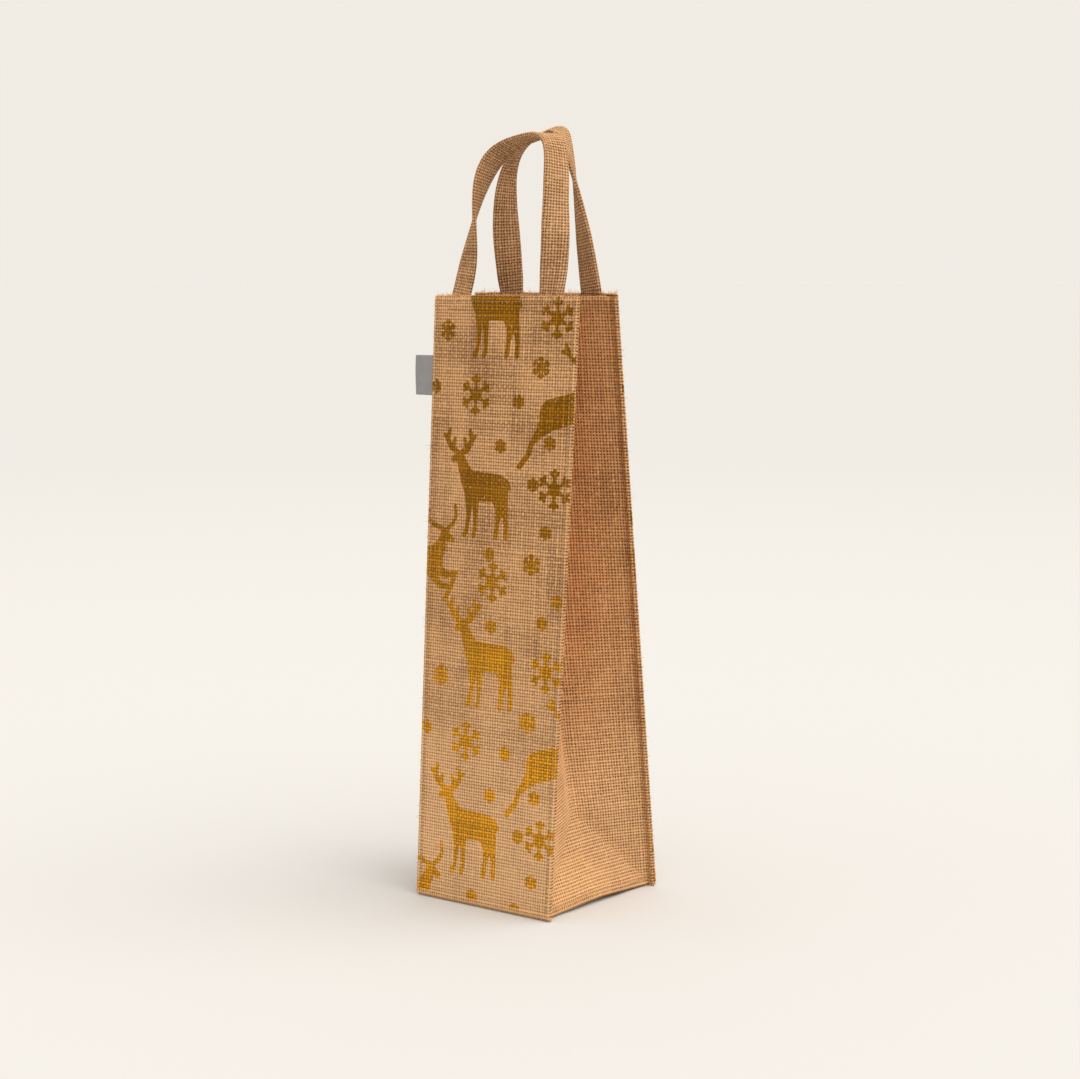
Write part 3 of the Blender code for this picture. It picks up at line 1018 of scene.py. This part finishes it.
def strap_frames(wall, spacing):
    """Evenly spaced frames along a strap: its middle, width direction and thickness direction."""
    points = strap_line(wall)
    run = [0.0]
    for (before, _), (after, _) in zip(points, points[1:]):
        run.append(run[-1] + (after - before).length)
    count = round(run[-1] / spacing)
    frames = []
    index = 0
    for step in range(count + 1):
        target = run[-1] * step / count
        while index < len(run) - 2 and run[index + 1] < target:
            index += 1
        share = (target - run[index]) / max(run[index + 1] - run[index], 1e-9)
        middle = points[index][0].lerp(points[index + 1][0], share)
        turn = math.radians(mix(points[index][1], points[index + 1][1], share))
        frames.append([middle, Vector((math.cos(turn), wall["side"] * math.sin(turn), 0))])
    for step, (middle, width) in enumerate(frames):
        before = frames[max(step - 1, 0)][0]
        after = frames[min(step + 1, count)][0]
        along = (after - before).normalized()
        width = (width - along * width.dot(along)).normalized()
        angle, centre = wall["roll"]
        lean = math.radians(angle) * ridge(step / count - centre, 0.15)
        width = Quaternion(along, lean) @ width
        frames[step] = (middle, width, along.cross(width))
    return frames, run[-1]


def strap_section(distance):
    """A point on a strap's edge round its section: across and through, from -half to half."""
    flat = STRAP_WIDTH - STRAP_THICKNESS
    bend = math.pi * STRAP_THICKNESS / 2
    radius = STRAP_THICKNESS / 2
    distance %= 2 * (flat + bend)
    sign = 1 if distance < flat + bend else -1
    rest = distance % (flat + bend)
    if rest <= flat:
        pressed = 1 - 0.16 * math.sin(math.pi * rest / flat)
        return sign * (rest - flat / 2), sign * -radius * pressed
    turn = (rest - flat) / radius
    return sign * (flat / 2 + radius * math.sin(turn)), sign * -radius * math.cos(turn)


def make_strap(wall, settings):
    """A whole strap: sewn inside the wall, up through its arch and down to its other sewn end."""
    pitch = settings.pitch * STRAP_PITCH
    frames, length = strap_frames(wall, pitch / STRAP_ROWS)
    around = 2 * (STRAP_WIDTH - STRAP_THICKNESS) + math.pi * STRAP_THICKNESS
    yarns = (round(around / pitch), (len(frames) - 1) / STRAP_ROWS)

    def place(a, b):
        """The point of the strap at those yarns, the first of which run round it."""
        index = min(round(b * STRAP_ROWS), len(frames) - 1)
        middle, width, through = frames[index]
        stray = 0.15 * noise.noise(Vector((a * 0.8, b * 0.1, 80.0 + wall["side"])))
        across, deep = strap_section((a + stray) / yarns[0] * around)
        ripple = 1 + 0.03 * noise.noise(Vector((b * 0.11, 4.0, wall["side"])))
        return middle + width * across * ripple + through * deep

    bm = weave_grid(yarns, (2, STRAP_ROWS), place, settings.relief * 0.8)
    bmesh.ops.remove_doubles(bm, verts=bm.verts, dist=0.00012)
    ends = [edge for edge in bm.edges if edge.is_boundary]
    bmesh.ops.holes_fill(bm, edges=ends, sides=0)
    bmesh.ops.recalc_face_normals(bm, faces=bm.faces)
    piece = finish_piece(f"{wall['name']}_strap", bm, finish_named("strap_weave"))
    piece.data.attributes.remove(piece.data.attributes["yarn"])
    write_attribute(piece, "edge", np.zeros(len(piece.data.vertices)))
    return piece, length


def add_stitch(bm, start, end):
    """One stitch: a low rounded bead between two needle holes."""
    middle = (start + end) / 2
    run = end - start
    made = bmesh.ops.create_uvsphere(bm, u_segments=6, v_segments=5, radius=0.5)["verts"]
    bmesh.ops.scale(bm, vec=(STITCH_THICKNESS, STITCH_THICKNESS, run.length), verts=made)
    turn = Vector((0, 0, 1)).rotation_difference(run).to_matrix()
    bmesh.ops.rotate(bm, cent=(0, 0, 0), matrix=turn, verts=made)
    bmesh.ops.translate(bm, vec=middle, verts=made)


def make_stitches(name, path, count):
    """A row of stitches along path(0..1)."""
    bm = bmesh.new()
    for index in range(count):
        start = path((index + (1 - STITCH_SHARE) / 2) / count)
        end = path((index + (1 + STITCH_SHARE) / 2) / count)
        add_stitch(bm, start, end)
    return finish_piece(name, bm, finish_named("sewing_thread"))


def make_fibres(wall, count, seed):
    """Frayed fibres along a wall's rim, fin edges and foot."""
    rng = random.Random(seed)
    bm = bmesh.new()
    for _ in range(count):
        where = rng.random()
        side = rng.choice((-1, 1))
        if where < RIM_FIBRES:
            spot = wall_point(wall, rng.uniform(-1, 1) * RIM_HALF_WIDTH * 0.98, wall["rim_z"], 0.0006)
            heading = Vector((rng.gauss(0, 0.6), wall["side"] * rng.uniform(-0.4, 0.9), 0.7))
        elif where < RIM_AND_FIN_FIBRES:
            height = rng.uniform(0.004, wall["rim_z"])
            spot = wall_point(wall, side * wall_half_width(wall_share(wall, height)), height, 0.0006)
            heading = Vector((side, wall["side"] * rng.uniform(-0.2, 0.8), rng.gauss(0, 0.8)))
        else:
            spot = wall_point(wall, rng.uniform(-1, 1) * BASE_HALF_WIDTH, 0.0025, 0.0002)
            heading = Vector((rng.gauss(0, 0.8), wall["side"], rng.uniform(-0.1, 0.5)))
        add_fibre(bm, rng, spot, heading.normalized(), rng.uniform(0.0010, 0.0036))
    return finish_piece(f"{wall['name']}_loose_fibres", bm, finish_named("loose_fibre"))


def add_fibre(bm, rng, spot, heading, length):
    """One fibre: a thin three-sided hair that curls to a point."""
    radius = rng.uniform(0.00006, 0.00015)
    curl = Vector([rng.gauss(0, 0.5) for _ in range(3)])
    aside = heading.orthogonal().normalized()
    other = heading.cross(aside)
    ring = bmesh.ops.create_circle(bm, segments=3, radius=radius, cap_ends=True)["verts"]
    for vert in ring:
        vert.co = spot + aside * vert.co.x + other * vert.co.y
    faces = list({face for vert in ring for face in vert.link_faces})
    steps = 4
    for step in range(steps):
        made = bmesh.ops.extrude_face_region(bm, geom=faces)["geom"]
        if step > 0:
            bmesh.ops.delete(bm, geom=faces, context="FACES_ONLY")
        faces = [item for item in made if isinstance(item, bmesh.types.BMFace)]
        verts = [item for item in made if isinstance(item, bmesh.types.BMVert)]
        heading = (heading + curl * 0.35).normalized()
        bmesh.ops.translate(bm, vec=heading * (length / steps), verts=verts)
        centre = sum((vert.co for vert in verts), Vector()) / len(verts)
        for vert in verts:
            vert.co = centre.lerp(vert.co, 0.75)


def make_label():
    """The folded satin label, out from the front left fin and back."""
    low, high = LABEL_BOX
    fold = 0.00045
    proud = 0.0009
    tuck = 0.0030
    root = high.x + proud + tuck
    reach = high.x - low.x + proud + tuck
    total = 2 * reach + math.pi * fold
    middle_y = (low.y + high.y) / 2
    bm = bmesh.new()
    bmesh.ops.create_grid(bm, x_segments=64, y_segments=20, size=0.5)
    uv_layer = bm.loops.layers.uv.new("weave")
    for face in bm.faces:
        for loop in face.loops:
            loop[uv_layer].uv = loop.vert.co.xy
    lean = (high.y - low.y - 0.0006) / (high.z - low.z)
    for vert in bm.verts:
        along = (vert.co.x + 0.5) * total
        height = mix(low.z, high.z, vert.co.y + 0.5)
        if along < reach:
            out, deep = along, -fold
        elif along > total - reach:
            out, deep = total - along, fold
        else:
            turn = (along - reach) / fold
            out, deep = reach + fold * math.sin(turn), -fold * math.cos(turn)
        belly = 0.0006 * math.sin(math.pi * min(out / reach, 1.0)) * (1 if deep > 0 else 0.4)
        curve = 0.0010 * (out / reach) ** 2 * math.sin(2.4 * (vert.co.y + 0.3))
        y = middle_y + lean * (height - (low.z + high.z) / 2) + deep + math.copysign(belly, deep)
        vert.co = Vector((root - out, y - curve, height))
    piece = finish_piece("folded_label", bm, finish_named("ribbed_satin"))
    give_thickness(piece, LABEL_SKIN)
    return piece, (high.z - low.z, total)


# ---------------------------------------------------------------- operators


class GIFTBAG_OT_finishes(Operator):
    """Makes the jute, gold, thread and satin finishes"""

    bl_idname = "giftbag.finishes"
    bl_label = "Finishes"

    def execute(self, context):
        colours = context.scene.gift_bag_colours
        light, dark = tuple(colours.jute), tuple(colours.jute_dark)
        make_jute("printed_weave", light, dark, (0.23, 0.40), gold=tuple(colours.gold))
        make_jute("plain_weave", tint(light, 0.97, 0.93, 0.88), dark, (0.17, 0.33))
        make_jute("strap_weave", tint(light, 0.86, 0.90, 0.98), dark, (0.20, 0.36))
        make_thread("sewing_thread", tuple(colours.thread))
        make_thread("loose_fibre", tint(light, 1.2))
        make_satin("ribbed_satin", tuple(colours.satin))
        return {"FINISHED"}


class GIFTBAG_OT_walls(Operator):
    """Makes the printed front and back walls"""

    bl_idname = "giftbag.walls"
    bl_label = "Printed walls"

    def execute(self, context):
        for wall in (FRONT, BACK):
            piece = make_wall(wall, context.scene.gift_bag_cloth)
            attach(piece, f"{wall['name']}_wall")
            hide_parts(f"{wall['name']}_panel")
            cut = (2 * RIM_HALF_WIDTH, profile_length(wall["rim_z"]))
        return {"FINISHED"}


class GIFTBAG_OT_gussets(Operator):
    """Makes the two folded side gussets, in halves"""

    bl_idname = "giftbag.gussets"
    bl_label = "Side gussets"

    def execute(self, context):
        settings = context.scene.gift_bag_cloth
        for side, word in ((-1, "left"), (1, "right")):
            for wall in (FRONT, BACK):
                piece = make_gusset_half(wall, side, word, settings)
                foot = seam_point(wall, WALL_FOOT, 0.0)
                rim = seam_point(wall, FRONT["rim_z"], 0.0)
                rise = Vector((0, rim.y - foot.y, rim.z - foot.z)).normalized()
                inward = Vector((0, -wall["side"] * rise.z, wall["side"] * rise.y))
                reach = (crease_point(FRONT["rim_z"]) - rim).dot(inward)
                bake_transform(piece)
                if wall is FRONT:
                    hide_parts(f"{word}_gusset")
                cut = (FIN + half_cloth() + CREASE_LAP, profile_length(FRONT["rim_z"]))
        return {"FINISHED"}


class GIFTBAG_OT_base(Operator):
    """Makes the base"""

    bl_idname = "giftbag.base"
    bl_label = "Base"

    def execute(self, context):
        piece = make_base_cloth(context.scene.gift_bag_cloth)
        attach(piece, "base")
        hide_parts("base_panel")
        cut = (2 * root_x(WALL_FOOT), 2 * (BASE_HALF_DEPTH - BASE_SHORT))
        return {"FINISHED"}


class GIFTBAG_OT_straps(Operator):
    """Makes the two strap handles with their sewn ends"""

    bl_idname = "giftbag.straps"
    bl_label = "Straps"

    def execute(self, context):
        for wall in (FRONT, BACK):
            name = wall["name"]
            piece, length = make_strap(wall, context.scene.gift_bag_cloth)
            start = wall_point(wall, 0.0, wall["rim_z"])
            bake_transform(piece)
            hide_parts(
                f"{name}_handle", f"{name}_handle_left_end", f"{name}_handle_right_end"
            )
        return {"FINISHED"}


class GIFTBAG_OT_label(Operator):
    """Makes the blank satin side label"""

    bl_idname = "giftbag.label"
    bl_label = "Side label"

    def execute(self, context):
        piece, cut = make_label()
        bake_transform(piece)
        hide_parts("side_label")
        return {"FINISHED"}


class GIFTBAG_OT_stitches(Operator):
    """Sews the fins, the hem, the straps and the gussets' feet"""

    bl_idname = "giftbag.stitches"
    bl_label = "Stitches"

    def execute(self, context):
        for wall in (FRONT, BACK):
            self.sew_wall(wall)
        for side, word in ((-1, "left"), (1, "right")):
            self.sew_foot(side, word)
        return {"FINISHED"}

    def sew_wall(self, wall):
        """The rows of stitches on one wall."""
        name, rim = wall["name"], wall["rim_z"]
        for side, word in ((-1, "left"), (1, "right")):

            def fin(share, side=side):
                """Up the fin's seam."""
                height = mix(WALL_FOOT + 0.003, rim - 0.001, share)
                x = wall_half_width(wall_share(wall, height)) - SEAM_INSET
                return wall_point(wall, side * x, height, -STITCH_PROUD)

            row = make_stitches(f"{name}_{word}_seam_stitches", fin, SEAM_STITCHES)
            self.keep(row, f"{name}_wall", f"{name}_{word}_seam_thread")

            def tack(share, side=side):
                """Across the strap's sewn end."""
                leg = wall["legs"][0 if side < 0 else 1]
                x = leg + STRAP_WIDTH * (share - 0.5)
                return wall_point(wall, x, rim - TACK_DROP, -STITCH_PROUD)

            row = make_stitches(f"{name}_{word}_tack_stitches", tack, TACK_STITCHES)
            self.keep(row, f"{name}_wall", f"{name}_handle_{word}_tack")

        def hem(share):
            """Across the wall, under its rim."""
            reach = RIM_HALF_WIDTH - 2 * FIN
            return wall_point(wall, mix(-reach, reach, share), rim - HEM_SEAM_DROP, -STITCH_PROUD)

        row = make_stitches(f"{name}_hem_stitches", hem, ROW_STITCHES)
        self.keep(row, f"{name}_wall", f"{name}_rim_thread")

    def sew_foot(self, side, word):
        """The row of stitches along a gusset's foot."""
        x = side * (root_x(0.004) + CLOTH / 2)

        def foot(share):
            """Along the gusset's bottom edge."""
            y = mix(-1, 1, share) * (BASE_HALF_DEPTH - FOOT_SEAM_INSET)
            return Vector((x, y, FOOT_SEAM_RISE + foot_arch(y)))

        row = make_stitches(f"{word}_foot_stitches", foot, ROW_STITCHES)
        self.keep(row, "base", f"{word}_base_seam_thread")

    def keep(self, piece, body, node):
        """Puts a row of stitches on its body in its CAD node's stead."""
        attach(piece, body)
        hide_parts(node)


class GIFTBAG_OT_fibres(Operator):
    """Frays the walls' edges"""

    bl_idname = "giftbag.fibres"
    bl_label = "Loose fibres"

    def execute(self, context):
        count = context.scene.gift_bag_cloth.fibres
        for seed, wall in enumerate((FRONT, BACK)):
            piece = make_fibres(wall, count, 100 + seed)
            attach(piece, f"{wall['name']}_wall")
        return {"FINISHED"}


class GIFTBAG_OT_stage(Operator):
    """Makes the pale studio floor, the soft light and the camera"""

    bl_idname = "giftbag.stage"
    bl_label = "Stage"

    def execute(self, context):
        self.make_floor()
        self.make_lights(context)
        self.make_camera(context)
        return {"FINISHED"}

    def make_floor(self):
        """A wide pale floor, as bright in this light as the pale world behind it, with a painted pool
        of light near the bag.
        """
        bm = bmesh.new()
        bmesh.ops.create_circle(bm, cap_ends=True, segments=96, radius=FLOOR_RADIUS)
        finish = Finish("studio_floor")
        steepness = SUN_PLACE[2] / Vector(SUN_PLACE).length
        direct = [channel * SUN_STRENGTH * steepness / math.pi for channel in SUN_COLOUR]
        far = [world / (world + sun) for world, sun in zip(WORLD_COLOUR, direct)]
        # Painted light: the floor is paler near the bag, fading out with distance.
        painted_pool = tint(far, FLOOR_PAINTED_LIGHT)
        place = finish.object_place()
        away = finish.add("ShaderNodeVectorMath", {0: place}, operation="LENGTH").outputs[1]
        colour = finish.blend(finish.ramp(away, *FLOOR_FADE), painted_pool, far)
        finish.feed(finish.shader.inputs["Base Color"], colour)
        finish.shader.inputs["Roughness"].default_value = 0.9
        finish.shader.inputs["Specular IOR Level"].default_value = 0.1
        finish_piece("floor", bm, finish.material)

    def make_lights(self, context):
        """The pale world, and one very soft sun from above and the right."""
        world = bpy.data.worlds.new("studio")
        world.use_nodes = True
        background = world.node_tree.nodes["Background"]
        background.inputs["Color"].default_value = (*WORLD_COLOUR, 1.0)
        background.inputs["Strength"].default_value = 1.0
        context.scene.world = world
        light = bpy.data.lights.new("sun", "SUN")
        light.angle = SUN_SPREAD
        light.energy = SUN_STRENGTH
        light.color = SUN_COLOUR
        lamp = bpy.data.objects.new("sun", light)
        lamp.location = SUN_PLACE
        lamp.rotation_euler = (-lamp.location).to_track_quat("-Z", "Y").to_euler()
        context.scene.collection.objects.link(lamp)
        context.scene.view_settings.view_transform = "Standard"

    def make_camera(self, context):
        """A long lens a little above the bag, turned to its front right corner."""
        camera = bpy.data.cameras.new("camera")
        camera.lens = LENS
        camera.sensor_width = SENSOR
        holder = bpy.data.objects.new("camera", camera)
        holder.location = CAMERA_PLACE
        holder.rotation_euler = (math.radians(90 - CAMERA_DOWN), 0.0, math.radians(CAMERA_TURN))
        context.scene.collection.objects.link(holder)
        context.scene.camera = holder


class GIFTBAG_PT_maker(Panel):
    """Lists the gift bag's settings and operators"""

    bl_label = "Gift Bag"
    bl_idname = "GIFTBAG_PT_maker"
    bl_space_type = "VIEW_3D"
    bl_region_type = "UI"
    bl_category = "Gift Bag"

    def draw(self, context):
        layout = self.layout
        for group in (context.scene.gift_bag_cloth, context.scene.gift_bag_colours):
            for name in group.__annotations__:
                layout.prop(group, name)
        for operator in OPERATORS:
            layout.operator(operator.bl_idname)


OPERATORS = (
    GIFTBAG_OT_stage,
    GIFTBAG_OT_finishes,
    GIFTBAG_OT_walls,
    GIFTBAG_OT_gussets,
    GIFTBAG_OT_base,
    GIFTBAG_OT_straps,
    GIFTBAG_OT_label,
    GIFTBAG_OT_stitches,
    GIFTBAG_OT_fibres,
)
CLASSES = (GiftBagCloth, GiftBagColours, *OPERATORS, GIFTBAG_PT_maker)


def register():
    """Registers the classes and their settings."""
    for cls in CLASSES:
        bpy.utils.register_class(cls)
    bpy.types.Scene.gift_bag_cloth = PointerProperty(type=GiftBagCloth)
    bpy.types.Scene.gift_bag_colours = PointerProperty(type=GiftBagColours)


def unregister():
    """Removes them again."""
    del bpy.types.Scene.gift_bag_colours
    del bpy.types.Scene.gift_bag_cloth
    for cls in reversed(CLASSES):
        bpy.utils.unregister_class(cls)


def main():
    """Makes the whole bag."""
    register()
    for operator in OPERATORS:
        family, name = operator.bl_idname.split(".")
        getattr(getattr(bpy.ops, family), name)()


if __name__ == "__main__":
    main()
